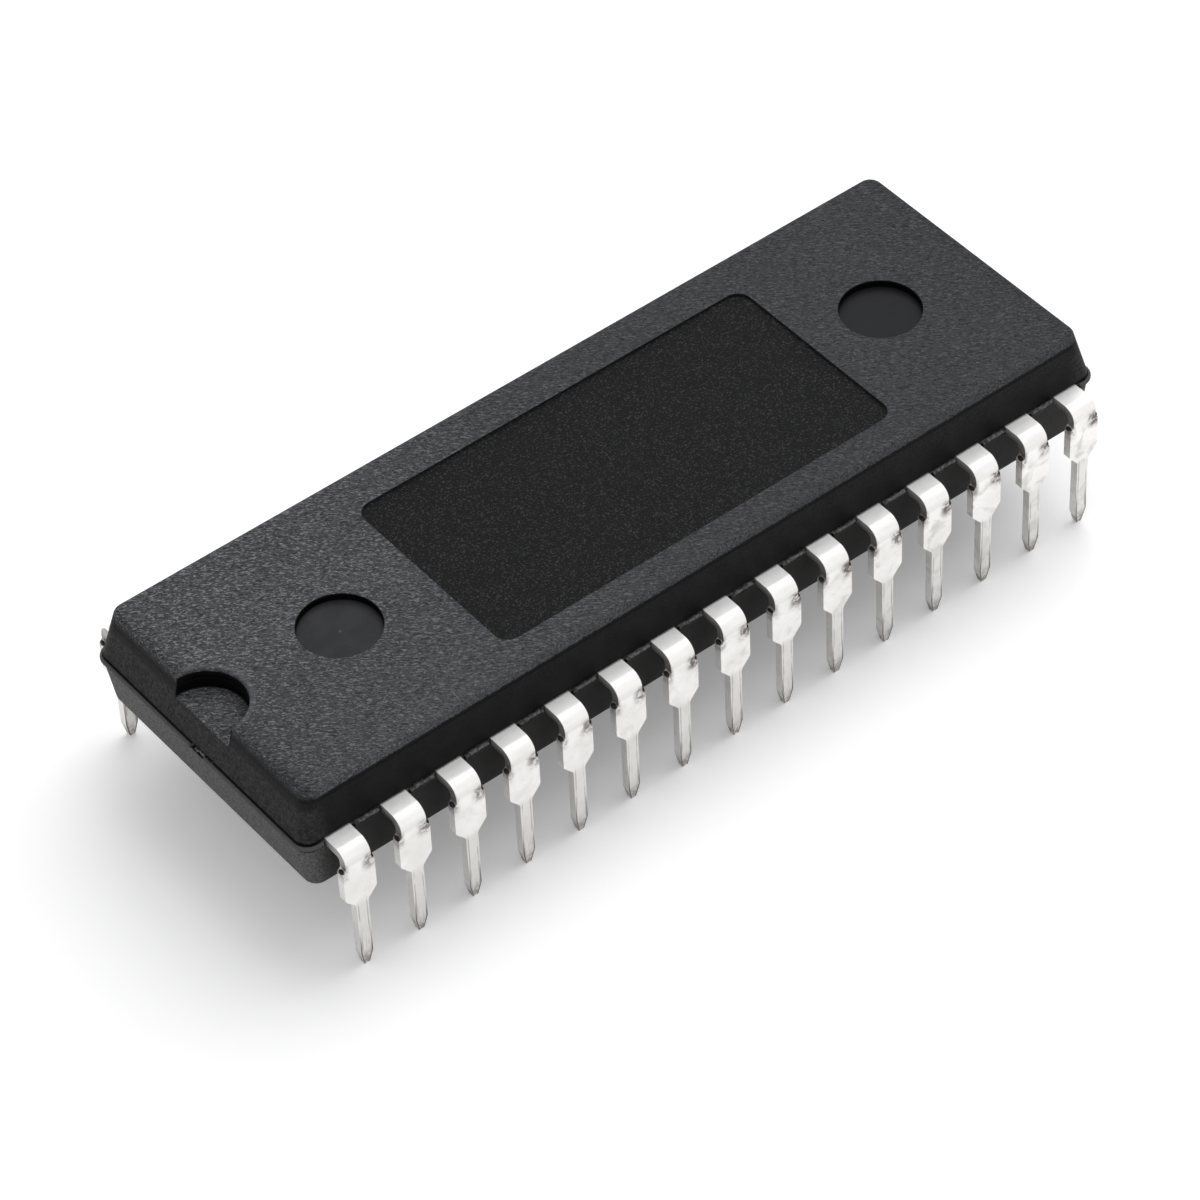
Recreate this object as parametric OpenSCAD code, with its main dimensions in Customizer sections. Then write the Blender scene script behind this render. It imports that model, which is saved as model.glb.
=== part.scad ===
// Dual in-line integrated circuit: moulded body, thirty bent leads and the die inside.
// X runs along the body with the notch at -X, Y across it, and Z is 0 at the lead tips.

/* [Package] */
// Leads along each side
leads_per_side = 15; // [13:2:19]
// From one lead to the next
lead_pitch = 1.778; // [1.65:0.001:2.54]
// From the body's side out to the middle of a leg, just below its bend
lead_standout = 0.7; // [0.6:0.01:1]
// Underside of the body above the lead tips
underside_height = 2.75; // [2.3:0.05:3.6]

/* [Moulded body] */
// Width at the parting line, without its lip
body_width = 9.2; // [8.6:0.05:9.4]
// From the middle of the last lead to the end of the body
end_margin = 1.05; // [0.9:0.05:1.6]
// Upper half, from the top of the leads up
upper_height = 1.6; // [1.4:0.05:2.2]
// Lower half, from the underside of the leads down
lower_height = 1.45; // [1.2:0.05:2.2]
// Lean of the upper half's ends
upper_end_draft = 0.32; // [0.1:0.01:0.5]
// Lean of the upper half's sides
upper_side_draft = 0.24; // [0.05:0.01:0.4]
// Lean of the lower half's ends
lower_end_draft = 0.18; // [0.05:0.01:0.5]
// Lean of the lower half's sides
lower_side_draft = 0.05; // [0.05:0.01:0.4]
// Radius of the upright corners
corner_radius = 0.4; // [0.3:0.05:0.6]
// Rounding of the edges round the top
top_edge_radius = 0.18; // [0.05:0.01:0.3]
// Rounding of the edges round the underside
bottom_edge_radius = 0.15; // [0.05:0.01:0.3]
// How far the lip stands out at the parting line
lip = 0.14; // [0.05:0.01:0.25]
// Rounding of the lip's edges
lip_edge = 0.1; // [0.02:0.01:0.12]
// Clear space between the lip and each lead
lip_gap = 0.1; // [0.05:0.01:0.15]
// Height and depth of the fine groove above the lip
seam = 0.06; // [0.03:0.01:0.1]

/* [Marks in the body] */
// Radius of the half-round notch at the pin 1 end
notch_radius = 1.18; // [0.6:0.02:1.6]
// Depth of the notch
notch_depth = 0.68; // [0.2:0.02:0.9]
// Rounding of the notch's rim
notch_rim = 0.08; // [0.02:0.01:0.15]
// Radius of the ejector marks
ejector_radius = 1.17; // [0.5:0.01:1.3]
// Depth of the ejector marks
ejector_depth = 0.22; // [0.05:0.01:0.3]
// From the ends of the top face to the middle of the ejector marks
ejector_inset = 3.9; // [3.5:0.02:4.4]
// How far the ejector marks sit from the middle, away from the notch
ejector_shift = 0.38; // [0:0.02:0.6]
// How far the ejector marks sit off the middle line, towards pins 1 to 15
ejector_offset = 0.1; // [0:0.02:0.3]
// Length of the sunk marking panel
panel_length = 13.3; // [8:0.1:14]
// Width of the sunk marking panel
panel_width = 6.5; // [3:0.05:7]
// How far the panel sits from the middle, away from the notch
panel_shift = 0.6; // [0:0.05:0.8]
// How far the panel sits off the middle line, towards pins 1 to 15
panel_offset = 0.2; // [0:0.05:0.3]
// Depth of the panel
panel_depth = 0.07; // [0.02:0.01:0.15]
// Radius of the panel's corners
panel_corner = 0.45; // [0.1:0.05:1]

/* [Leads] */
// Thickness of the lead frame
lead_thickness = 0.25; // [0.2:0.01:0.3]
// Width of a lead where it leaves the body
shoulder_width = 0.8; // [0.6:0.01:0.9]
// Width of the stop that rests on the board
stop_width = 1; // [0.9:0.01:1.15]
// Width of the leg below the stop
leg_width = 0.39; // [0.35:0.01:0.6]
// Inner radius of the bend
bend_radius = 0.14; // [0.1:0.01:0.3]
// From the end of the bend down to the top of the stop
stop_drop = 0.18; // [0.05:0.01:0.25]
// Length of the stop's straight sides
stop_length = 1.1; // [0.8:0.01:1.2]
// Rounding of the stop's lower corners
stop_corner = 0.12; // [0.05:0.01:0.2]
// Length of the taper from the stop to the leg
taper_length = 0.36; // [0.2:0.01:0.5]
// Rounding where the taper runs into the leg
taper_corner = 0.15; // [0.05:0.01:0.2]
// Length of the pointed tip
tip_length = 0.47; // [0.2:0.01:0.6]
// Width across the blunt end of the tip
tip_width = 0.18; // [0.1:0.01:0.3]
// Thickness of the blunt end of the tip
tip_thickness = 0.14; // [0.08:0.01:0.2]
// Rounding where the leg begins to point
tip_corner = 0.1; // [0.05:0.01:0.15]
// Outward lean of the legs, in degrees
splay = 0; // [0:0.5:6]

/* [Inside the body] */
// Length of the die pad
pad_length = 6.1; // [5.4:0.1:7]
// Width of the die pad
pad_width = 3.9; // [3.3:0.1:4.1]
// How far the die pad lies below the leads
pad_drop = 0.25; // [0.1:0.01:0.4]
// Width of the tie bars that hold the die pad
tie_width = 0.4; // [0.3:0.05:0.5]
// From the end of the body in to the sheared end of a tie bar
tie_recess = 0.12; // [0.05:0.01:0.25]
// Clear space between the die pad and the lead fingers
finger_gap = 0.3; // [0.2:0.05:0.4]
// Leads on each side whose fingers reach one end of the die pad
end_fingers = 3; // [2:1:3]
// Spacing of the finger tips at the ends of the die pad
end_finger_pitch = 0.5; // [0.44:0.01:0.55]
// Length of the silicon die
die_length = 3.4; // [2.4:0.1:4.2]
// Width of the silicon die
die_width = 2.2; // [1.8:0.1:2.6]
// Thickness of the silicon die
die_thickness = 0.35; // [0.2:0.01:0.45]
// Thickness of the adhesive under the die
attach_thickness = 0.04; // [0.02:0.01:0.06]
// Adhesive that shows round the die
attach_margin = 0.15; // [0.05:0.01:0.25]
// Diameter of a bond wire
wire_diameter = 0.04; // [0.03:0.005:0.06]
// Rise of a bond wire above the line between its ends
wire_rise = 0.3; // [0.15:0.01:0.45]
// Diameter of the flat foot at each end of a wire
foot_diameter = 0.12; // [0.08:0.01:0.16]

/* [Hidden] */
function pin_name(k) = str("pin_", k < 10 ? "0" : "", k);
lead_count = 2 * leads_per_side;

// Levels
lead_bottom = underside_height + lower_height;
lead_top = lead_bottom + lead_thickness;
body_top = lead_top + upper_height;
pad_top = lead_top - pad_drop;
die_bottom = pad_top + attach_thickness;
die_top = die_bottom + die_thickness;

// Body
row_spacing = body_width + 2 * lead_standout;
last_place = (leads_per_side - 1) / 2;
body_length = 2 * (last_place * lead_pitch + end_margin);
half_width = body_width / 2;
top_length = body_length - 2 * upper_end_draft;
ejector_x = top_length / 2 - ejector_inset;
overcut = 1;

// Leads
bend_mid_radius = bend_radius + lead_thickness / 2;
bend_y = row_spacing / 2 - bend_mid_radius * cos(splay);
bend_z = lead_bottom - bend_radius;

// Lead fingers: how they fan in from the body's side, where they turn and end, and the wires' feet
root_depth = 0.3;
neck_depth = 0.7;
finger_x = pad_length / 2 + finger_gap;
finger_y = pad_width / 2 + finger_gap;
fan_depth = half_width - neck_depth - finger_y;
neck_width = fan_depth / 4;
finger_width = 0.75 * neck_width;
finger_run = finger_width;
finger_run_step = 0.67 * finger_width;
end_run = 0.95;
end_run_step = 0.6;
wire_setback = 0.2;
last_side_place = last_place - end_fingers;
side_finger_pitch = (pad_length / 2 - finger_width) / last_side_place;
first_end_finger = tie_width / 2 + 0.2 + finger_width / 2;

// Bond pads on the die
bond_edge = 0.12;
bond_corner = 0.35;
first_end_bond = 0.25;
side_bond_pitch = (die_length / 2 - bond_corner) / last_side_place;
end_bond_pitch = (die_width / 2 - bond_corner - first_end_bond) / (end_fingers - 1);
foot_height = 0.05;

$fn = 64;
hull_fn = 32;

// Flat rectangle with round corners, centred on the origin
module rounded_rectangle(length, width, radius) {
    square([length - 2 * radius, width], center = true);
    square([length, width - 2 * radius], center = true);
    for (x = [-1, 1], y = [-1, 1])
        translate([x * (length / 2 - radius), y * (width / 2 - radius)])
            circle(radius);
}

// Disc whose upper edge is rounded, standing on z = 0
module rounded_disc(radius, edge, height) {
    translate([0, 0, height - edge])
        rotate_extrude($fn = hull_fn)
            intersection() {
                translate([radius - edge, 0]) circle(edge, $fn = hull_fn);
                translate([0, -edge]) square([radius, 2 * edge]);
            }
}

// Disc rounded above and below, from z = 0 up
module rounded_puck(radius, edge, height) {
    translate([0, 0, height / 2])
        for (turn = [0, 180])
            rotate([turn, 0, 0])
                rounded_disc(radius, edge, height / 2);
}

// Half of the moulding: the parting line's outline at z = 0, leaning in towards its rounded face
module moulded_half(height, end_draft, side_draft, edge) {
    corner_x = body_length / 2 - corner_radius;
    corner_y = half_width - corner_radius;
    rim = 0.02;
    hull()
        for (x = [-1, 1], y = [-1, 1]) {
            translate([x * corner_x, y * corner_y, 0])
                cylinder(h = rim, r = corner_radius, $fn = hull_fn);
            translate([x * (corner_x - end_draft), y * (corner_y - side_draft), 0])
                rounded_disc(corner_radius, edge, height);
        }
}

// The layer as thick as the leads: its rounded lip is broken at every lead
module parting_layer() {
    slot = shoulder_width + 2 * lip_gap;
    linear_extrude(lead_thickness)
        rounded_rectangle(body_length, body_width, corner_radius);
    difference() {
        hull()
            for (x = [-1, 1], y = [-1, 1])
                translate([x * (body_length / 2 - corner_radius),
                           y * (half_width - corner_radius), 0])
                    rounded_puck(corner_radius + lip, lip_edge, lead_thickness);
        for (place = [-last_place : last_place], side = [-1, 1])
            translate([place * lead_pitch, side * (half_width + overcut / 2), 0])
                cube([slot, overcut, 2 * overcut], center = true);
    }
}

// Half-round cutter for the notch, with a rim that flares out at the top
module notch_cutter() {
    steps = 6;
    flare = [for (i = [0 : steps]) let (turn = 90 * i / steps)
        [notch_radius + notch_rim * (1 - cos(turn)), -notch_rim * (1 - sin(turn))]];
    rotate_extrude()
        polygon(concat([[0, -notch_depth], [notch_radius, -notch_depth]], flare,
                       [[notch_radius + notch_rim, overcut], [0, overcut]]));
}

module moulding() {
    translate([0, 0, lead_bottom])
        mirror([0, 0, 1])
            moulded_half(lower_height, lower_end_draft, lower_side_draft, bottom_edge_radius);
    translate([0, 0, lead_bottom])
        parting_layer();
    translate([0, 0, lead_top])
        linear_extrude(seam)
            rounded_rectangle(body_length - 2 * seam, body_width - 2 * seam, corner_radius - seam);
    translate([0, 0, lead_top + seam])
        moulded_half(upper_height - seam, upper_end_draft, upper_side_draft, top_edge_radius);
}

module body_marks() {
    translate([-top_length / 2, 0, body_top])
        notch_cutter();
    translate([panel_shift, -panel_offset, body_top - panel_depth])
        linear_extrude(overcut)
            rounded_rectangle(panel_length, panel_width, panel_corner);
    for (side = [-1, 1]) {
        translate([ejector_shift + side * ejector_x, -ejector_offset,
                   body_top - ejector_depth])
            cylinder(h = overcut, r = ejector_radius);
        translate([ejector_shift + side * ejector_x, -ejector_offset,
                   underside_height + ejector_depth - overcut])
            cylinder(h = overcut, r = ejector_radius);
        // Pocket that the broken-off tie bar leaves in the lip
        translate([side * (body_length / 2 - tie_recess + overcut / 2), 0,
                   lead_bottom + lead_thickness / 2])
            cube([overcut, tie_width + 2 * lip_gap, lead_thickness], center = true);
    }
}

module body() {
    color([0.14, 0.14, 0.15])
        difference() {
            moulding();
            body_marks();
            die_pad();
            die_attach();
            die();
            bond_wires();
            for (k = [1 : lead_count]) pin(k);
        }
}

// Outline of a strip along a path, mitred where it turns, with its own width at each point
function unit(v) = v / norm(v);
function left_of(v) = [-v[1], v[0]];
function strip_edge(path, widths, i, side) =
    let (last = len(path) - 1,
         before = unit(path[max(i, 1)] - path[max(i, 1) - 1]),
         after = unit(path[min(i, last - 1) + 1] - path[min(i, last - 1)]),
         mitre = left_of(before + after) / (1 + before * after))
    path[i] + side * widths[i] / 2 * mitre;
function strip(path, widths) =
    concat([for (i = [0 : len(path) - 1]) strip_edge(path, widths, i, 1)],
           [for (i = [len(path) - 1 : -1 : 0]) strip_edge(path, widths, i, -1)]);

// Polygon whose corners are rounded to the given radii, 0 for a sharp one
function rounded_corner(before, corner, after, radius) =
    let (a = unit(before - corner),
         b = unit(after - corner),
         half = acos(a * b) / 2,
         turn = 180 - 2 * half,
         centre = corner + unit(a + b) * radius / sin(half),
         start = corner + a * radius / tan(half) - centre,
         sense = a[0] * b[1] - a[1] * b[0] > 0 ? -1 : 1,
         steps = 4)
    radius == 0 ? [corner]
    : [for (i = [0 : steps]) let (t = sense * turn * i / steps)
        centre + [start[0] * cos(t) - start[1] * sin(t), start[0] * sin(t) + start[1] * cos(t)]];
function rounded_polygon(points, radii) =
    let (n = len(points))
    [for (i = [0 : n - 1])
        each rounded_corner(points[(i + n - 1) % n], points[i], points[(i + 1) % n], radii[i])];

// A lead's place counts from the middle of its row. Fingers near the middle of the row
// reach the long side of the die pad, and the outer ones reach its ends.
function reaches_side(place) = abs(place) <= last_side_place;
function end_order(place) = last_place - abs(place);
function end_finger_y(place) = first_end_finger + end_order(place) * end_finger_pitch;
function finger_end(place) =
    reaches_side(place) ? [place * side_finger_pitch, -finger_y]
    : [sign(place) * finger_x, -end_finger_y(place)];
function finger_way(place) =
    reaches_side(place) ? [0, -1] : [sign(place), 0];
function finger_turn(place) =
    finger_end(place) + finger_way(place)
    * (reaches_side(place) ? finger_run + (last_side_place - abs(place)) * finger_run_step
       : end_run + (end_fingers - 1 - end_order(place)) * end_run_step);
function wire_end(place) = finger_end(place) + finger_way(place) * wire_setback;
function bond_pad(place) =
    reaches_side(place) ? [place * side_bond_pitch, -(die_width / 2 - bond_edge)]
    : [sign(place) * (die_length / 2 - bond_edge),
       -(first_end_bond + end_order(place) * end_bond_pitch)];

// Middle line of a lead seen from the end, as [y, z]: out of the body, round the bend and down,
// with the thickness at each of its points
bend_steps = 8;
function leg_point(z) =
    [-bend_y - bend_mid_radius * cos(splay) - (bend_z + bend_mid_radius * sin(splay) - z) * tan(splay),
     z];
lead_line = concat([[root_depth - half_width, lead_bottom + lead_thickness / 2]],
                   [for (i = [0 : bend_steps]) let (turn = (90 - splay) * i / bend_steps)
                       [-bend_y - bend_mid_radius * sin(turn),
                        bend_z + bend_mid_radius * cos(turn)]],
                   [leg_point(tip_length), leg_point(0)]);
lead_thicknesses = [for (p = lead_line) p[1] > 0 ? lead_thickness : tip_thickness];

// Outline of a lead seen from the front, as [x, z] from its middle line: half of it, downwards
stop_top = bend_z - stop_drop;
stop_bottom = stop_top - stop_length;
sheared_corner = 0.04;
leg_half = [[shoulder_width / 2, lead_top + overcut],
            [shoulder_width / 2, stop_top],
            [stop_width / 2, stop_top - (stop_width - shoulder_width) / 2],
            [stop_width / 2, stop_bottom],
            [leg_width / 2, stop_bottom - taper_length],
            [leg_width / 2, tip_length],
            [tip_width / 2, 0]];
leg_radii = [0, 0, sheared_corner, stop_corner, taper_corner, tip_corner, sheared_corner];
leg_outline = concat(leg_half, [for (i = [len(leg_half) - 1 : -1 : 0])
                                   [-leg_half[i][0], leg_half[i][1]]]);
leg_outline_radii = concat(leg_radii, [for (i = [len(leg_radii) - 1 : -1 : 0]) leg_radii[i]]);

// One lead of the row at -Y, from one sheet of metal: its finger, then its shoulder and leg
module lead(place) {
    x = place * lead_pitch;
    path = [[x, -bend_y], [x, root_depth - half_width], [x, neck_depth - half_width],
            finger_turn(place), finger_end(place)];
    widths = [shoulder_width, shoulder_width, neck_width, finger_width, finger_width];
    translate([0, 0, lead_bottom])
        linear_extrude(lead_thickness)
            polygon(strip(path, widths));
    translate([x, 0, 0])
        intersection() {
            rotate([90, 0, 90])
                linear_extrude(2 * stop_width, center = true)
                    polygon(strip(lead_line, lead_thicknesses));
            rotate([90, 0, 0])
                linear_extrude(row_spacing)
                    polygon(rounded_polygon(leg_outline, leg_outline_radii));
        }
}

// Pins are counted from the notch along the row at -Y, and back along the row at +Y
module pin(k) {
    color([0.87, 0.86, 0.84])
        if (k <= leads_per_side)
            lead(k - 1 - last_place);
        else
            rotate([0, 0, 180])
                lead(k - leads_per_side - 1 - last_place);
}

// Flat pad below the level of the leads, and the tie bars that rise from it to the body's ends
module die_pad() {
    far = body_length / 2 - tie_recess;
    foot = pad_length / 2 + 0.05;
    low = pad_top - lead_thickness;
    half = [[foot, low], [foot + pad_drop, lead_bottom], [far, lead_bottom],
            [far, lead_top], [foot + pad_drop, lead_top], [foot, pad_top]];
    profile = concat(half, [for (i = [len(half) - 1 : -1 : 0]) [-half[i][0], half[i][1]]]);
    color([0.72, 0.7, 0.66]) {
        translate([-pad_length / 2, -pad_width / 2, low])
            cube([pad_length, pad_width, lead_thickness]);
        translate([0, tie_width / 2, 0])
            rotate([90, 0, 0])
                linear_extrude(tie_width)
                    polygon(profile);
    }
}

module die_attach() {
    color([0.75, 0.75, 0.77])
        translate([0, 0, pad_top])
            linear_extrude(attach_thickness)
                rounded_rectangle(die_length + 2 * attach_margin, die_width + 2 * attach_margin,
                                  attach_margin);
}

module die() {
    color([0.3, 0.32, 0.42])
        translate([-die_length / 2, -die_width / 2, die_bottom])
            cube([die_length, die_width, die_thickness]);
}

// One wire: an arc that rises from a foot on the die and comes down to a foot on a finger
module bond_wire(place) {
    start = bond_pad(place);
    stop = wire_end(place);
    across = norm(stop - start);
    fall = die_top - lead_top;
    chord = norm([across, fall]);
    radius = (pow(chord / 2, 2) + pow(wire_rise, 2)) / (2 * wire_rise);
    half_turn = asin(chord / 2 / radius);
    way = stop - start;
    for (foot = [[start, die_top], [stop, lead_top]])
        translate([foot[0][0], foot[0][1], foot[1]])
            cylinder(h = foot_height, d = foot_diameter);
    translate([start[0], start[1], die_top + foot_height - wire_diameter / 2])
        rotate([0, 0, atan2(way[1], way[0])])
            rotate([90, 0, 0])
                rotate([0, 0, -atan2(fall, across)])
                    translate([chord / 2, wire_rise - radius, 0])
                        rotate([0, 0, 90 - half_turn])
                            rotate_extrude(angle = 2 * half_turn)
                                translate([radius, 0])
                                    circle(d = wire_diameter, $fn = 16);
}

module bond_wires() {
    color([0.95, 0.77, 0.35])
        for (place = [-last_place : last_place], turn = [0, 180])
            rotate([0, 0, turn])
                bond_wire(place);
}

body();
die_pad();
die_attach();
die();
bond_wires();
for (k = [1 : lead_count])
    pin(k);
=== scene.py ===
"""Dual in-line integrated circuit on a white floor: the moulded body, its thirty bent leads, and
the resin flash and metal burrs that the forming tools leave on them."""
from math import copysign, cos, radians, sin

import bmesh
import bpy
from mathutils import Matrix, Vector


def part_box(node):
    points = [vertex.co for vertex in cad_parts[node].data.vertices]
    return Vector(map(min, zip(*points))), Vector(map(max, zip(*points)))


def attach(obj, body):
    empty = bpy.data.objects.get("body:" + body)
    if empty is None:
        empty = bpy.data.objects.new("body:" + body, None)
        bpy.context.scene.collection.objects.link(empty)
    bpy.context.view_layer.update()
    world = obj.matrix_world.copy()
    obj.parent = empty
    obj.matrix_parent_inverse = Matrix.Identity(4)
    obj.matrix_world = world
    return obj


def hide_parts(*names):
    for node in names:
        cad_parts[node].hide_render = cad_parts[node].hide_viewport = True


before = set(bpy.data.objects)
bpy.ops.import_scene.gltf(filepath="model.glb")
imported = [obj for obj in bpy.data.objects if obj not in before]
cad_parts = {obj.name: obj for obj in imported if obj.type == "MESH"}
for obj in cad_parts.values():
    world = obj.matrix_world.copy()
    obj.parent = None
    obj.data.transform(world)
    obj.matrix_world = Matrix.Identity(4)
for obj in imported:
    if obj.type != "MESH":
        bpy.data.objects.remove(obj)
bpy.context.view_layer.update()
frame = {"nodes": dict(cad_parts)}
nodes = frame["nodes"]

MM = 0.001

# Sizes that the part's source gives, in mm
LEADS_PER_SIDE = 15
LEAD_THICKNESS = 0.25
STOP_WIDTH = 1.0
BEND_RADIUS = 0.14
STOP_DROP = 0.18
TIP_LENGTH = 0.47
LIP = 0.14
CORNER = 0.4
UPPER_END_DRAFT = 0.32
PANEL_CENTRE = (0.6, -0.2)
PANEL_LENGTH = 13.3
PANEL_WIDTH = 6.5
PANEL_CORNER = 0.45
EJECTOR_X = (9.656, -8.896)
EJECTOR_Y = -0.1
EJECTOR_RADIUS = 1.17
NOTCH_RADIUS = 1.18
NOTCH_DEPTH = 0.68

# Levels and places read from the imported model, in mm
body_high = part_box("body")[1] / MM
TOP = body_high.z
HALF_WIDTH = body_high.y - LIP
HALF_LENGTH = body_high.x - LIP
ROW_LENGTH = (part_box("pin_15")[1].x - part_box("pin_01")[0].x) / MM
PITCH = (ROW_LENGTH - STOP_WIDTH) / (LEADS_PER_SIDE - 1)
FIRST_LEAD_X = -(LEADS_PER_SIDE - 1) / 2 * PITCH
LEAD_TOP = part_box("pin_08")[1].z / MM
LEAD_BOTTOM = LEAD_TOP - LEAD_THICKNESS
LEG_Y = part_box("pin_30")[1].y / MM - LEAD_THICKNESS / 2
BEND_Z = LEAD_BOTTOM - BEND_RADIUS
STEP_Z = BEND_Z - STOP_DROP
NOTCH_X = UPPER_END_DRAFT - HALF_LENGTH
NOTCH_FLOOR = TOP - NOTCH_DEPTH

# The photo's camera, fitted to the part, in pixels, mm and degrees
IMAGE_WIDTH = 1200
FOCAL_LENGTH = 5205.033
SENSOR_WIDTH = 36
CAMERA_TARGET = (-1.322, -1.302, 2.871)
CAMERA_AZIMUTH = -36.689
CAMERA_ELEVATION = 45.71
CAMERA_ROLL = -2.792
CAMERA_DISTANCE = 139.981

# The floor: its half size in metres, its glow to the camera, and the distances in mm over which
# it turns plain white to the camera
FLOOR_HALF = 3.0
FLOOR_LIFT = 0.2
WHITE_FROM = 60
WHITE_BY = 140

# The moulding's near black as a linear colour: its own darkest tone on the sides, and painted
# shadow in narrow joints and under its edges
NEAR_BLACK_AND_PAINTED_SHADOW = (0.002, 0.002, 0.002)

# The shares of the lip's reach and of its height that its finer bead keeps
BEAD_REACH = 0.75
BEAD_HEIGHT = 0.55


class Value:
    """One socket of a node tree, with the arithmetic that builds on it."""

    def __init__(self, nodes, socket):
        self.nodes = nodes
        self.socket = socket

    def math(self, operation, *others):
        settings = {"operation": operation}
        return self.nodes.node("ShaderNodeMath", settings, dict(enumerate((self,) + others)))

    def __add__(self, other):
        return self.math("ADD", other)

    def __radd__(self, other):
        return self.math("ADD", other)

    def __sub__(self, other):
        return self.math("SUBTRACT", other)

    def __rsub__(self, other):
        return self.nodes.node("ShaderNodeMath", {"operation": "SUBTRACT"}, {0: other, 1: self})

    def __mul__(self, other):
        return self.math("MULTIPLY", other)

    def __rmul__(self, other):
        return self.math("MULTIPLY", other)

    def __truediv__(self, other):
        return self.math("DIVIDE", other)

    def __abs__(self):
        return self.math("ABSOLUTE")

    def rise(self, start, stop):
        """0 below start, 1 above stop and a smooth step between them; start may be the greater."""
        if start > stop:
            return 1 - self.rise(stop, start)
        return self.nodes.node("ShaderNodeMapRange", {"interpolation_type": "SMOOTHSTEP"},
                               {"Value": self, "From Min": start, "From Max": stop})

    def band(self, low, high, edge):
        """1 between low and high, fading out over the edge width on both sides."""
        return self.rise(low - edge, low) * self.rise(high + edge, high)


class Nodes:
    """A node tree in the making."""

    def __init__(self, tree):
        self.tree = tree
        self.tree.nodes.clear()

    def node(self, kind, settings=None, sockets=None, out=0):
        """Makes a node, with its settings first and then its sockets' values or links."""
        made = self.tree.nodes.new(kind)
        for key, setting in (settings or {}).items():
            setattr(made, key, setting)
        for key, value in (sockets or {}).items():
            if isinstance(value, Value):
                self.tree.links.new(value.socket, made.inputs[key])
            else:
                made.inputs[key].default_value = value
        return Value(self, made.outputs[out]) if made.outputs else None

    def shown(self):
        """1 for what the camera sees, straight or by a mirror or glass, and 0 for other light."""
        straight, mirrored, through = (self.node("ShaderNodeLightPath", out=ray) for ray in
                                       ("Is Camera Ray", "Is Glossy Ray", "Is Transmission Ray"))
        return straight + mirrored + through

    def mix(self, share, first, second):
        """Colour between two colours; each may be a Value or three numbers."""
        first, second = (c if isinstance(c, Value) else (*c, 1) for c in (first, second))
        return self.node("ShaderNodeMix", {"data_type": "RGBA"},
                         {0: share, 6: first, 7: second}, 2)

    def layered(self, colour, *layers):
        """The colour with layers laid over it in turn, each a share and a colour."""
        for share, layer in layers:
            colour = self.mix(share, colour, layer)
        return colour


class Finish(Nodes):
    """A material in the making, whose patterns are laid out in millimetres."""

    def __init__(self, name):
        self.material = bpy.data.materials.new(name)
        self.material.use_nodes = True
        super().__init__(self.material.node_tree)
        place = self.node("ShaderNodeTexCoord", out="Object")
        self.place = self.node("ShaderNodeVectorMath", {"operation": "SCALE"},
                               {0: place, "Scale": 1 / MM})
        self.x, self.y, self.z = (self.node("ShaderNodeSeparateXYZ", {}, {0: self.place}, axis)
                                  for axis in "XYZ")

    def noise(self, per_mm, detail=2.0, distortion=0.0, stretch=None, roughness=0.5, place=None):
        """Soft noise of the given fineness; a stretch below 1 draws it out along that axis."""
        place = place or self.place
        if stretch:
            place = self.node("ShaderNodeVectorMath", {"operation": "MULTIPLY"},
                              {0: place, 1: stretch})
        return self.node("ShaderNodeTexNoise", {}, {"Vector": place, "Scale": per_mm,
                         "Detail": detail, "Distortion": distortion, "Roughness": roughness})

    def distance(self, x, y):
        """Distance from a point in the plan."""
        aside = self.x - x
        across = self.y - y
        return (aside * aside + across * across).math("SQRT")

    def beyond(self, centre, length, width, corner):
        """Distance outside a rounded rectangle in the plan."""
        aside = (abs(self.x - centre[0]) - (length / 2 - corner)).math("MAXIMUM", 0)
        across = (abs(self.y - centre[1]) - (width / 2 - corner)).math("MAXIMUM", 0)
        return (aside * aside + across * across).math("SQRT") - corner

    def bump(self, height, depth):
        """Relief of the given depth in millimetres."""
        return self.node("ShaderNodeBump", {},
                         {"Height": height, "Strength": 1.0, "Distance": depth * MM})

    def surface(self, **sockets):
        """The surface shader, whose sockets are named with underscores for spaces."""
        named = {key.replace("_", " "): (*value, 1) if isinstance(value, tuple) else value
                 for key, value in sockets.items()}
        return self.node("ShaderNodeBsdfPrincipled", {}, named)

    def done(self, shader):
        """The material, once its shader is complete."""
        self.node("ShaderNodeOutputMaterial", {}, {"Surface": shader})
        return self.material


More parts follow.
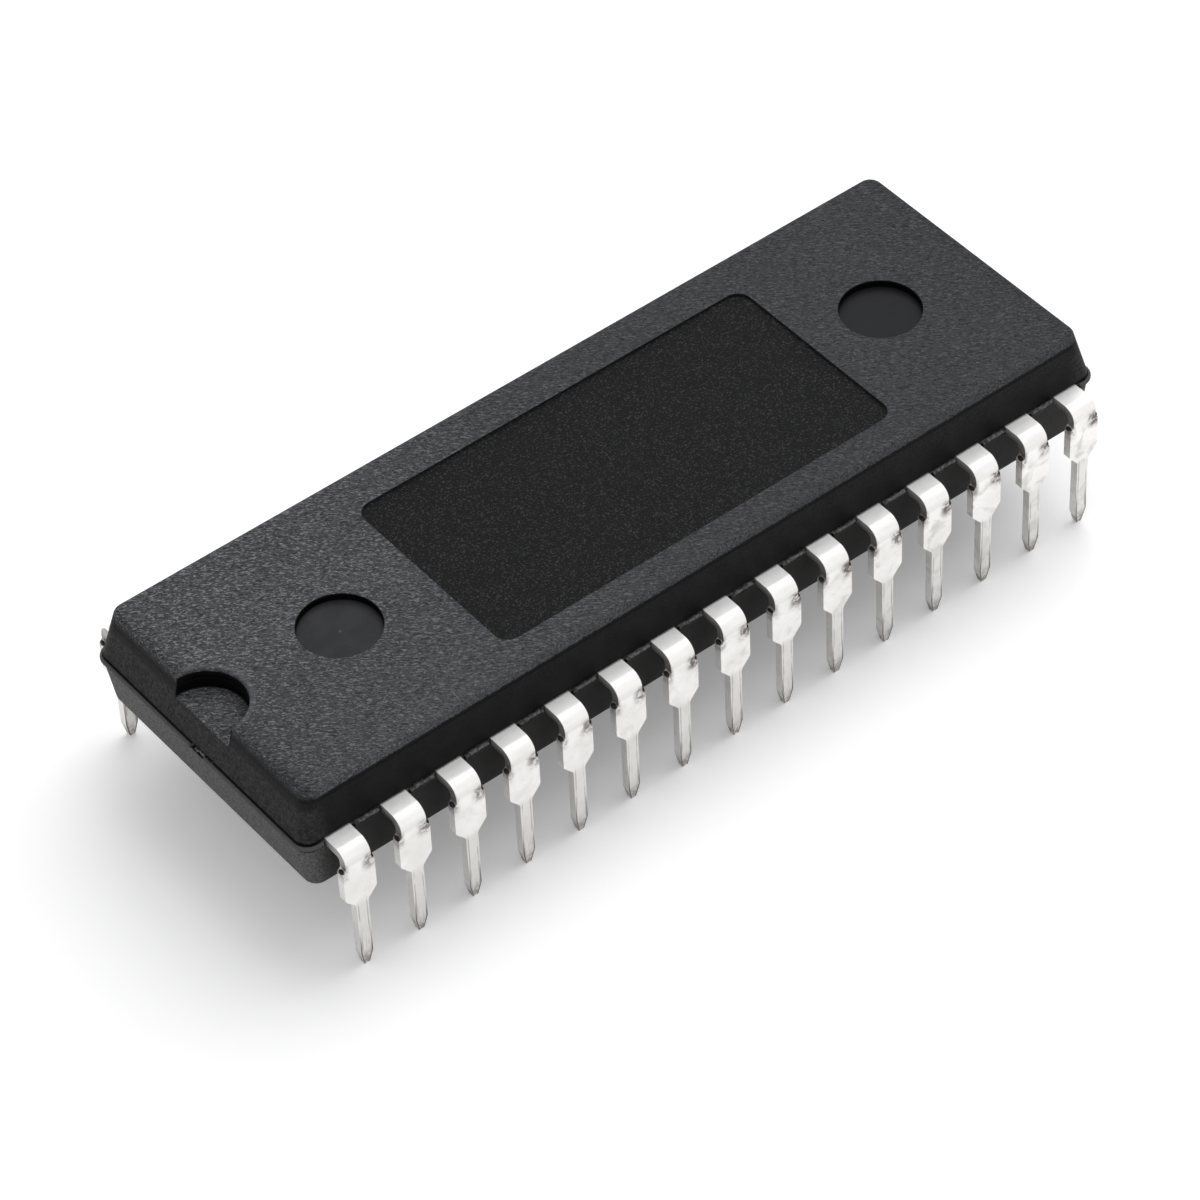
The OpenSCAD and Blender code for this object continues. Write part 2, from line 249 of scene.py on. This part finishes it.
class MouldedEpoxy(Finish):
    """Black moulding compound: grained on top and at the ends, finer in the marking panel, and
    smooth on the sides and in the ejector marks. Its masks are 1 where their detail lies."""

    def __init__(self):
        super().__init__("moulded_epoxy")
        self.add_grains()
        self.add_face_masks()
        self.add_ejector_masks()
        self.add_notch_masks()
        # A band just under the top's edge, painted near black as painted shadow under the rim and
        # sunk a little by the relief
        self.under_rim = (self.z + 0.1 * self.fine).band(TOP - 0.31, TOP - 0.24, 0.03) \
            * (1 - self.notch) * (1 - self.disc) * (1 - 0.7 * self.end)
        self.grained = ((self.top - self.panel - self.disc).math("MAXIMUM", 0) + self.notch) \
            .math("MINIMUM", 1)

    def add_grains(self):
        """The strokes of the coarse grain run slantwise, drawn out by the stretch."""
        cosine, sine, stretch = 0.8, 0.6, 0.36
        turned = self.node("ShaderNodeCombineXYZ", {},
                           {0: (cosine * self.x - sine * self.y) * stretch,
                            1: sine * self.x + cosine * self.y, 2: self.z})
        self.strokes = self.noise(21, 1, 1.3, roughness=0.4, place=turned)
        self.fine = self.noise(20, 2, 0.4)
        self.cloud = self.noise(0.35, 2)
        self.blotch = self.noise(1.6, 3)
        self.mottle = self.noise(9, 4, 0.6, roughness=0.75)

    def add_face_masks(self):
        """The top's edge is crisp along the sides and soft where it rolls over to the ends."""
        self.end = abs(self.x).rise(HALF_LENGTH - 0.95, HALF_LENGTH - 0.36)
        crisp = (self.z + 0.06 * self.fine).rise(TOP - 0.27, TOP - 0.2)
        soft = self.z.rise(TOP - 0.32, TOP - 0.02)
        self.top = crisp * (1 - self.end) + soft * self.end
        from_panel = self.beyond(PANEL_CENTRE, PANEL_LENGTH, PANEL_WIDTH, PANEL_CORNER)
        self.panel = from_panel.rise(0.02, -0.02) * self.top
        self.lip = self.z.band(LEAD_BOTTOM, LEAD_TOP + 0.02, 0.02)

    def add_ejector_masks(self):
        """The two sunk discs, the rim of each painted dark as painted shadow on its wall, and the
        dot in the middle of the left one.
        """
        from_right, from_left = (self.distance(x, EJECTOR_Y) for x in EJECTOR_X)
        marks = (from_right, from_left)
        self.disc = sum(mark.rise(EJECTOR_RADIUS + 0.01, EJECTOR_RADIUS - 0.01)
                        for mark in marks) * self.z.rise(TOP - 0.4, TOP - 0.3)
        # Painted shadow on the wall round each disc
        self.disc_rim = sum(mark.band(EJECTOR_RADIUS - 0.02, EJECTOR_RADIUS + 0.05, 0.01)
                            for mark in marks) * self.z.rise(TOP - 0.02, TOP - 0.05) * self.top
        self.dot = from_left.rise(0.05, 0.03) * self.disc

    def add_notch_masks(self):
        """The notch's grained floor, its wall painted dark as painted shadow, and the ring round
        its edge painted paler as a painted highlight where the rim rounds over.
        """
        from_notch = self.distance(NOTCH_X, 0)
        self.notch = from_notch.rise(NOTCH_RADIUS, NOTCH_RADIUS - 0.06) \
            * self.z.band(NOTCH_FLOOR - 0.02, NOTCH_FLOOR + 0.02, 0.01)
        # Painted shadow on the notch's wall
        self.notch_wall = from_notch.band(NOTCH_RADIUS - 0.03, NOTCH_RADIUS + 0.03, 0.02) \
            * self.z.band(NOTCH_FLOOR + 0.03, TOP - 0.12, 0.03)
        # Painted highlight on the ring where the notch's rim rounds over
        self.notch_ring = from_notch.band(NOTCH_RADIUS + 0.02, NOTCH_RADIUS + 0.14, 0.05) \
            * (1 - self.notch)

    def top_colour(self):
        """Dark pits and light glints of the grain, painted as the shade and highlights of its
        relief, on a ground painted paler towards the notch as a painted sheen, with painted
        highlights along the front rim and round the notch.
        """
        # Ground painted paler towards the notch as a painted sheen
        near_notch = self.x.rise(4, -12)
        # Strength of the grain's painted highlights, stronger where the light falls on it
        glint = 0.17 + 0.44 * near_notch * (0.45 + 0.55 * self.y.rise(-4, 2))
        # Painted highlight along the rounded front edge of the top
        front_rim = self.y.rise(0.5 - HALF_WIDTH, 0.2 - HALF_WIDTH) * self.fine.rise(0.4, 0.6)
        return self.layered(
            self.mix(near_notch, (0.052, 0.053, 0.057), (0.072, 0.073, 0.079)),
            (self.cloud.rise(0.35, 0.65) * 0.35, (0.045, 0.046, 0.05)),
            (self.strokes.rise(0.46, 0.34) * 0.65, (0.014, 0.014, 0.015)),
            (self.strokes.rise(0.53, 0.68) * glint, (0.32, 0.33, 0.345)),
            (front_rim * 0.3, (0.17, 0.172, 0.18)),
            (self.notch_ring * 0.3, (0.14, 0.141, 0.146)))

    def side_colour(self):
        """Near black along the leads, a little paler high up and under the lip."""
        high = self.z.rise(LEAD_TOP + 0.2, TOP - 0.35) * (0.35 + 0.65 * self.x.rise(-10, 12))
        low = self.z.rise(LEAD_BOTTOM + 0.02, LEAD_BOTTOM - 0.02)
        return self.layered(
            self.mix(self.blotch.rise(0.3, 0.7), NEAR_BLACK_AND_PAINTED_SHADOW, (0.006, 0.006, 0.0058)),
            (high * self.fine.rise(0.3, 0.7), (0.017, 0.017, 0.017)),
            (low * (0.4 + 0.4 * self.blotch), (0.04, 0.04, 0.039)))

    def upper_end_colour(self):
        mottled = self.mix(self.mottle.rise(0.36, 0.66), (0.014, 0.014, 0.014),
                           (0.05, 0.05, 0.049))
        # Painted shade in a band under the rounded top edge
        under_edge = self.z.band(TOP - 0.52, TOP - 0.3, 0.14) * 0.75
        return self.mix(under_edge, mottled, (0.012, 0.012, 0.012))

    def lower_end_colour(self):
        # Its own grain, painted much paler than the upper end as a painted reflection of the white
        # floor
        grainy = self.mix(self.fine.rise(0.4, 0.62), (0.078, 0.078, 0.077),
                          (0.155, 0.155, 0.152))
        return self.mix(self.strokes.rise(0.42, 0.32) * 0.8, grainy, (0.02, 0.02, 0.02))

    def lip_colour(self):
        """Pale on its upper side as a painted highlight, with painted shade below it: mottled
        along the leads and even at the ends.
        """
        pale = self.mix(self.mottle.rise(0.4, 0.6), (0.03, 0.03, 0.03), (0.14, 0.14, 0.14))
        ledge = self.mix(self.z.rise(LEAD_TOP - 0.07, LEAD_TOP - 0.04),
                         (0.011, 0.011, 0.0108), pale)
        bead = self.mix(self.z.rise(LEAD_TOP - 0.12, LEAD_TOP - 0.08), (0.02, 0.02, 0.02),
                        (0.115, 0.115, 0.113))
        return self.mix(self.end, ledge, bead)

    def panel_colour(self):
        return self.mix(self.fine.rise(0.52, 0.7), (0.004, 0.0042, 0.0046),
                        (0.042, 0.042, 0.0435))

    def disc_colour(self):
        """Smooth, and darker in the right disc."""
        smooth = self.mix(self.blotch.rise(0.3, 0.7), (0.025, 0.0255, 0.0275),
                          (0.033, 0.0335, 0.036))
        return self.mix(self.x.rise(0, 5) * 0.9, smooth, (0.011, 0.0115, 0.0135))

    def colour(self):
        """All faces and details of the body, the later ones over the earlier."""
        upper_end = self.end * self.z.rise(LEAD_TOP, LEAD_TOP + 0.05)
        lower_end = self.end * self.z.rise(LEAD_BOTTOM + 0.05, LEAD_BOTTOM)
        overhang = self.beyond((0, 0), 2 * HALF_LENGTH, 2 * HALF_WIDTH, CORNER)
        # Painted shadow in the seam above the lip at the ends
        painted_seam_shadow = self.z.band(LEAD_TOP - 0.01, LEAD_TOP + 0.07, 0.02) * self.end \
            * overhang.rise(0.045, 0.025)
        return self.layered(
            self.side_colour(),
            (upper_end, self.upper_end_colour()),
            (lower_end, self.lower_end_colour()),
            (self.lip * 0.9, self.lip_colour()),
            (painted_seam_shadow * 0.9, NEAR_BLACK_AND_PAINTED_SHADOW),
            (self.grained, self.top_colour()),
            (self.under_rim * 0.95, NEAR_BLACK_AND_PAINTED_SHADOW),
            (self.notch_wall, NEAR_BLACK_AND_PAINTED_SHADOW),
            (self.panel, self.panel_colour()),
            (self.disc, self.disc_colour()),
            (self.disc_rim, NEAR_BLACK_AND_PAINTED_SHADOW),
            (self.dot, (0.07, 0.07, 0.072)))

    def made(self):
        """The material with its colour, gloss and relief."""
        roughness = 0.36 + 0.26 * self.grained + 0.2 * self.end + 0.12 * self.panel \
            + 0.06 * self.blotch
        rolled = abs(self.x).rise(HALF_LENGTH - 0.68, HALF_LENGTH - 0.32) * self.grained
        relief = 0.55 * self.strokes * (self.grained + 0.4 * self.end + 0.5 * self.lip) \
            + 0.3 * self.fine * (self.panel + self.end) + 0.15 * self.fine \
            - 0.7 * self.under_rim - 1.6 * rolled
        return self.done(self.surface(Base_Color=self.colour(), Roughness=roughness,
                                      Normal=self.bump(relief, 0.06), Specular_IOR_Level=0.07))


def tinned_metal():
    """Tin plating over sheared sheet metal: brown smudges where the tie bar was cut off and
    scratched grey tips. The leads towards the far right are more worn."""
    m = Finish("tinned_metal")
    row = m.y.rise(0.5, -0.5) * 2 - 1
    lead = m.x / PITCH
    across = (lead - lead.math("ROUND")) * PITCH * row
    wear = m.x.rise(-9, 9) * 0.5 + 0.5
    patches = m.noise(5, 4, 0.8, roughness=0.65)
    specks = m.noise(16, 3, 0.5)
    drawn = m.noise(14, 3, stretch=(1, 1, 0.12))
    cloud = m.noise(1.1, 2)

    flat = m.z.rise(LEAD_TOP - 0.22, LEAD_TOP - 0.04)
    # Grey band on the bend, painted as a reflection of the darker horizon
    bend = m.z.band(BEND_Z - 0.02, BEND_Z + 0.1, 0.1) * (0.4 + 0.6 * cloud)
    vein = patches.rise(0.55, 0.6) * specks.rise(0.5, 0.62)
    stain = m.noise(1.8, 3, 1.2).rise(0.48, 0.72) * m.z.rise(STEP_Z + 0.1, STEP_Z - 0.2) \
        * (wear * wear)
    leg = m.z.rise(STEP_Z - 1.3, STEP_Z - 1.6)
    scratch = drawn.rise(0.54, 0.64) * m.z.rise(2.3, 0.4)
    line = abs(across).band(0.125, 0.145, 0.015) * leg * drawn.rise(0.4, 0.56)
    tip_flare = 0.22 * m.z.math("MINIMUM", TIP_LENGTH)
    outline = (abs(across) - tip_flare).band(0.055, 0.08, 0.01) * m.z.rise(1.5, 0.5)
    by_step = m.z.rise(STEP_Z - 0.5, STEP_Z - 0.1) * m.z.rise(STEP_Z + 0.3, STEP_Z + 0.05)
    by_edge = across.rise(0.02, 0.32) + 0.7 * across.rise(-0.26, -0.42)
    smudge = (by_step * by_edge * (0.3 + 0.8 * patches.rise(0.4, 0.56)) * (0.5 + 0.6 * wear)) \
        .math("MINIMUM", 1)
    sheared = abs(across).rise(0.385, 0.41) * m.z.rise(STEP_Z - 0.02, STEP_Z + 0.06)
    tip = m.z.rise(0.7, 0.1) * (0.3 + 0.7 * patches.rise(0.38, 0.58))

    colour = m.layered(
        m.mix(cloud.rise(0.35, 0.65), (0.85, 0.835, 0.81), (0.92, 0.905, 0.885)),
        (flat, (0.92, 0.915, 0.905)),
        (bend * 0.4, (0.6, 0.58, 0.56)),
        (vein * 0.16, (0.5, 0.48, 0.45)),
        (stain * 0.45, (0.4, 0.38, 0.355)),
        (leg * 0.5, (0.68, 0.665, 0.64)),
        (scratch * 0.25, (0.4, 0.38, 0.36)),
        (line * 0.5, (0.2, 0.185, 0.17)),
        (outline * 0.9, (0.06, 0.052, 0.045)),
        (smudge * 0.9, (0.13, 0.1, 0.09)),
        (sheared * 0.85, (0.09, 0.075, 0.07)),
        (tip * 0.85, (0.26, 0.245, 0.23)))
    roughness = 0.42 + 0.1 * cloud + 0.2 * smudge + 0.1 * tip + 0.08 * flat
    dents = m.noise(1.9, 1) * (0.7 - 0.4 * flat)
    relief = dents + 0.12 * drawn * m.z.rise(STEP_Z, STEP_Z - 1.4) + 0.1 * patches * tip
    return m.done(m.surface(Base_Color=colour, Metallic=1 - 0.5 * flat, Roughness=roughness,
                            Normal=m.bump(relief, 0.05)))


def rough_resin(name, dark, light):
    """Ragged resin left where the tools cut; also the tie bar's stubs, painted near black as
    painted shade.
    """
    m = Finish(name)
    grain = m.noise(14, 3, 0.5)
    colour = m.mix(grain.rise(0.35, 0.65), dark, light)
    return m.done(m.surface(Base_Color=colour, Roughness=0.5 + 0.3 * grain,
                            Normal=m.bump(grain, 0.03), Specular_IOR_Level=0.25))


def plain_metal(name, dark, light, roughness, per_mm):
    """Even metal, sooty where it reaches the ends of the body."""
    m = Finish(name)
    grain = m.noise(per_mm, 3)
    sooty = abs(m.x).rise(HALF_LENGTH - 0.5, HALF_LENGTH - 0.3) * 0.95
    colour = m.layered(m.mix(grain.rise(0.3, 0.7), dark, light),
                       (sooty, (0.02, 0.018, 0.016)))
    return m.done(m.surface(Base_Color=colour, Metallic=1.0, Roughness=roughness + 0.12 * grain,
                            Normal=m.bump(grain, 0.004)))


def silicon():
    """Polished blue-grey die."""
    m = Finish("silicon")
    grain = m.noise(3, 2)
    colour = m.mix(grain.rise(0.3, 0.7), (0.09, 0.1, 0.15), (0.13, 0.14, 0.2))
    return m.done(m.surface(Base_Color=colour, Metallic=0.6, Roughness=0.14 + 0.1 * grain))


class Growth(Nodes):
    """A Geometry Nodes tree with named inputs, baked to a plain mesh."""

    def __init__(self, name, **sizes):
        super().__init__(bpy.data.node_groups.new(name, "GeometryNodeTree"))
        self.tree.is_modifier = True
        self.sizes = {}
        for label, value in sizes.items():
            kind = {int: "NodeSocketInt", float: "NodeSocketFloat",
                    tuple: "NodeSocketVector"}[type(value)]
            socket = self.tree.interface.new_socket(label, in_out="INPUT", socket_type=kind)
            self.sizes[label] = (socket.identifier, value)
        self.tree.interface.new_socket("Geometry", in_out="OUTPUT",
                                       socket_type="NodeSocketGeometry")
        self.entry = self.tree.nodes.new("NodeGroupInput")

    def size(self, label):
        """One of the tree's named inputs."""
        return Value(self, self.entry.outputs[label])

    def baked(self, geometry):
        """The tree's result for its sizes, as a plain mesh."""
        self.node("NodeGroupOutput", {}, {"Geometry": geometry})

        def add(holder):
            modifier = holder.modifiers.new("growth", "NODES")
            modifier.node_group = self.tree
            for identifier, value in self.sizes.values():
                modifier[identifier] = value
        return evaluated_mesh(bpy.data.meshes.new("seed"), add)


def ball(g):
    """Ball of radius 1."""
    return g.node("GeometryNodeMeshIcoSphere", {}, {"Radius": 1.0, "Subdivisions": 2})


def slab(g):
    """Block of half size 1, with enough points along it to become ragged."""
    return g.node("GeometryNodeMeshCube", {}, {"Size": (2.0, 2.0, 2.0), "Vertices X": 9,
                                               "Vertices Y": 3, "Vertices Z": 2})


def add_lumps(name, material, shape, starts, step, count, least, most, ragged, seed):
    """Rows of small uneven lumps, all lengths in mm: from each start, count lumps one step apart,
    scaled at random between the least and the most size and roughened by the ragged height."""
    g = Growth(name, Count=count, Step=step, Least=least, Most=most, Ragged=ragged, Seed=seed)
    rows = g.tree.nodes.new("GeometryNodeJoinGeometry")
    for start in starts:
        row = g.node("GeometryNodeMeshLine", {"mode": "OFFSET"},
                     {"Count": g.size("Count"), "Start Location": start,
                      "Offset": g.size("Step")})
        g.tree.links.new(row.socket, rows.inputs[0])
    scale = g.node("FunctionNodeRandomValue", {"data_type": "FLOAT_VECTOR"},
                   {0: g.size("Least"), 1: g.size("Most"), "Seed": g.size("Seed")})
    placed = g.node("GeometryNodeInstanceOnPoints", {},
                    {"Points": Value(g, rows.outputs[0]), "Instance": shape(g), "Scale": scale})
    solid = g.node("GeometryNodeRealizeInstances", {}, {0: placed})
    uneven = g.node("ShaderNodeTexNoise", {}, {"Scale": 9.0, "Detail": 2.0}) - 0.5
    push = uneven * g.size("Ragged") * 2
    outward = g.node("ShaderNodeVectorMath", {"operation": "SCALE"},
                     {0: g.node("GeometryNodeInputNormal"), "Scale": push})
    rough = g.node("GeometryNodeSetPosition", {}, {"Geometry": solid, "Offset": outward})
    smooth = g.node("GeometryNodeSetShadeSmooth", {}, {0: rough})
    mesh = g.baked(g.node("GeometryNodeSetMaterial", {}, {"Geometry": smooth,
                                                          "Material": material}))
    add_piece(name, mesh, material)


def clean_copy(node):
    """The node's solid as a new mesh with its doubles merged and its flat faces joined, in mm."""
    bm = bmesh.new()
    bm.from_mesh(nodes[node].data)
    bmesh.ops.scale(bm, vec=(1 / MM,) * 3, verts=bm.verts)
    bmesh.ops.remove_doubles(bm, verts=bm.verts, dist=1e-4)
    bmesh.ops.dissolve_limit(bm, angle_limit=radians(0.5), verts=bm.verts, edges=bm.edges)
    mesh = bpy.data.meshes.new(node + "_dressed")
    bm.to_mesh(mesh)
    bm.free()
    return mesh


def thinned_lip(mesh):
    """Draws the lip at the parting line in to a thin bead, with the body's own faces kept."""
    core = Vector((HALF_LENGTH - CORNER, HALF_WIDTH - CORNER))
    slack = 0.01
    for vertex in mesh.vertices:
        x, y, z = vertex.co
        reach = Vector((max(abs(x) - core.x, 0), max(abs(y) - core.y, 0)))
        outside = reach.length - CORNER
        if outside > slack and LEAD_BOTTOM - slack < z < LEAD_TOP + slack:
            reach *= (CORNER + BEAD_REACH * outside) / reach.length
            vertex.co = (copysign(min(abs(x), core.x) + reach.x, x),
                         copysign(min(abs(y), core.y) + reach.y, y),
                         LEAD_TOP - BEAD_HEIGHT * (LEAD_TOP - z))
    return mesh


def evaluated_mesh(mesh, add_modifiers):
    """The mesh after the modifiers that the given function adds, as plain geometry."""
    holder = bpy.data.objects.new("holder", mesh)
    bpy.context.collection.objects.link(holder)
    add_modifiers(holder)
    shown = holder.evaluated_get(bpy.context.evaluated_depsgraph_get())
    made = bpy.data.meshes.new_from_object(shown)
    bpy.data.objects.remove(holder)
    return made


def softened(mesh, width):
    """Rounds the sharp edges by the width in mm, and shades the faces between them smoothly."""
    def add(holder):
        bevel = holder.modifiers.new("edges", "BEVEL")
        bevel.width = width
        bevel.segments = 2
        bevel.limit_method = "ANGLE"
        bevel.angle_limit = radians(35)
        weighted = holder.modifiers.new("shading", "WEIGHTED_NORMAL")
        weighted.keep_sharp = True
    for polygon in mesh.polygons:
        polygon.use_smooth = True
    return evaluated_mesh(mesh, add)


def add_piece(name, mesh, material, replaced=()):
    """An object in metres that stands at the origin, rides the body and takes a finish."""
    mesh.transform(Matrix.Scale(MM, 4))
    mesh.name = name
    mesh.materials.clear()
    mesh.materials.append(material)
    piece = bpy.data.objects.new(name, mesh)
    bpy.context.collection.objects.link(piece)
    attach(piece, "root")
    if replaced:
        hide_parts(*replaced)


def aim(target, azimuth, elevation, roll, distance):
    """Matrix of a camera or lamp that looks at a point, with lengths in mm and angles in
    degrees. Azimuth 0 looks from the front, where y is least."""
    azimuth, elevation, roll = (radians(angle) for angle in (azimuth, elevation, roll))
    back = Vector((sin(azimuth) * cos(elevation), -cos(azimuth) * cos(elevation),
                   sin(elevation)))
    right = Vector((cos(azimuth), sin(azimuth), 0))
    up = back.cross(right)
    c, s = cos(roll), sin(roll)
    turned = Matrix((c * right + s * up, c * up - s * right, back)).transposed()
    place = (Vector(target) + distance * back) * MM
    return Matrix.Translation(place) @ turned.to_4x4()


def add_camera():
    """The photo's camera, with its focal length turned from pixels to mm."""
    data = bpy.data.cameras.new("camera")
    data.sensor_width = SENSOR_WIDTH
    data.lens = FOCAL_LENGTH / IMAGE_WIDTH * SENSOR_WIDTH
    data.clip_start = 0.01
    data.clip_end = 10
    camera = bpy.data.objects.new("camera", data)
    bpy.context.collection.objects.link(camera)
    camera.matrix_world = aim(CAMERA_TARGET, CAMERA_AZIMUTH, CAMERA_ELEVATION, CAMERA_ROLL,
                              CAMERA_DISTANCE)
    bpy.context.scene.camera = camera


def add_softbox(name, azimuth, elevation, distance, size, power):
    """A square lamp that faces the part, with lengths in mm and its power in watts."""
    data = bpy.data.lights.new(name, "AREA")
    data.shape = "SQUARE"
    data.size = size * MM
    data.energy = power
    lamp = bpy.data.objects.new(name, data)
    bpy.context.collection.objects.link(lamp)
    lamp.matrix_world = aim((0, 0, 0), azimuth, elevation, 0, distance)


def add_world():
    """Even studio light from above that darkens towards the horizon, and is white to the
    camera."""
    world = bpy.data.worlds.new("studio")
    bpy.context.scene.world = world
    world.use_nodes = True
    n = Nodes(world.node_tree)
    way = n.node("ShaderNodeTexCoord", out="Generated")
    height = n.node("ShaderNodeSeparateXYZ", {}, {0: way}, "Z")
    colour = n.mix(height.rise(0.12, 0.62), (0.15, 0.15, 0.15), (0.62, 0.62, 0.63))
    sky = n.node("ShaderNodeBackground", {}, {"Color": colour})
    white = n.node("ShaderNodeBackground", {}, {"Color": (1, 1, 1, 1)})
    n.node("ShaderNodeOutputWorld", {},
           {"Surface": n.node("ShaderNodeMixShader", {}, {0: n.shown(), 1: sky, 2: white})})


def add_floor():
    """White paper, whiter still to the camera, and plain white to it far from the part."""
    half = FLOOR_HALF
    mesh = bpy.data.meshes.new("floor")
    mesh.from_pydata([(-half, -half, 0), (half, -half, 0), (half, half, 0), (-half, half, 0)],
                     [], [(0, 1, 2, 3)])
    m = Finish("white_floor")
    paper = m.surface(Base_Color=(0.97, 0.97, 0.97), Roughness=0.9, Specular_IOR_Level=0.1)
    shown = m.shown()
    glow = m.node("ShaderNodeEmission", {}, {"Strength": FLOOR_LIFT})
    lifted = m.node("ShaderNodeAddShader", {}, {0: paper, 1: glow})
    near = m.node("ShaderNodeMixShader", {}, {0: shown, 1: paper, 2: lifted})
    far = m.distance(0, 0).rise(WHITE_FROM, WHITE_BY)
    white = m.node("ShaderNodeEmission", {}, {"Strength": 1.0})
    mesh.materials.append(m.done(m.node("ShaderNodeMixShader", {},
                                        {0: far * shown, 1: near, 2: white})))
    floor = bpy.data.objects.new("floor", mesh)
    bpy.context.collection.objects.link(floor)


bpy.context.scene.view_settings.view_transform = "Standard"
add_camera()
add_world()
add_floor()
add_softbox("key", azimuth=115, elevation=60, distance=320, size=340, power=0.66)

epoxy = MouldedEpoxy().made()
tinned = tinned_metal()
inner_finishes = {
    "die_pad": plain_metal("lead_frame_metal", (0.62, 0.58, 0.52), (0.72, 0.68, 0.62), 0.3, 4),
    "die_attach": plain_metal("silver_adhesive", (0.55, 0.55, 0.56), (0.7, 0.7, 0.71), 0.5, 9),
    "die": silicon(),
    "bond_wires": plain_metal("gold_wire", (0.85, 0.6, 0.22), (0.95, 0.72, 0.32), 0.16, 6),
}
for name, material in inner_finishes.items():
    nodes[name].data.materials.clear()
    nodes[name].data.materials.append(material)

add_piece("moulding", softened(thinned_lip(clean_copy("body")), 0.03), epoxy, ["body"])
for k in range(1, 2 * LEADS_PER_SIDE + 1):
    node = f"pin_{k:02d}"
    add_piece(f"lead_{k:02d}", softened(clean_copy(node), 0.025), tinned, [node])

# Near black of the tie bar's stubs, which is painted shade
shaded_stubs = rough_resin("burnt_metal", (0.004, 0.0035, 0.003), (0.03, 0.025, 0.022))
flash = rough_resin("resin_flash", (0.05, 0.05, 0.05), (0.19, 0.19, 0.187))

# Stubs of the cut tie bar at both edges of each lead's stop, painted near black as painted shade
stub_offset = 0.465
add_lumps("bar_stubs", shaded_stubs, ball,
          starts=[(FIRST_LEAD_X + edge * stub_offset, row * LEG_Y, STEP_Z - 0.06)
                  for row in (-1, 1) for edge in (-1, 1)],
          step=(PITCH, 0.0, 0.0), count=LEADS_PER_SIDE,
          least=(0.045, 0.1, 0.06), most=(0.075, 0.118, 0.1), ragged=0.02, seed=3)

# Ragged resin on the lip, near the middle of each gap between leads
gap_share = 0.52
add_lumps("resin_ledges", flash, slab,
          starts=[(FIRST_LEAD_X + PITCH * gap_share, row * (HALF_WIDTH + 0.06), LEAD_TOP - 0.01)
                  for row in (-1, 1)],
          step=(PITCH, 0.0, 0.0), count=LEADS_PER_SIDE - 1,
          least=(0.24, 0.03, 0.02), most=(0.37, 0.06, 0.03), ragged=0.03, seed=7)

# Resin crumbs on the lip at both ends, by the voids of the tie bars
first_crumb_y = -0.6
add_lumps("bar_crumbs", flash, ball,
          starts=[(side * (HALF_LENGTH + 0.01), first_crumb_y, LEAD_TOP - 0.03)
                  for side in (-1, 1)],
          step=(0.0, 0.1, 0.0), count=8,
          least=(0.02, 0.03, 0.02), most=(0.06, 0.08, 0.05), ragged=0.03, seed=11)
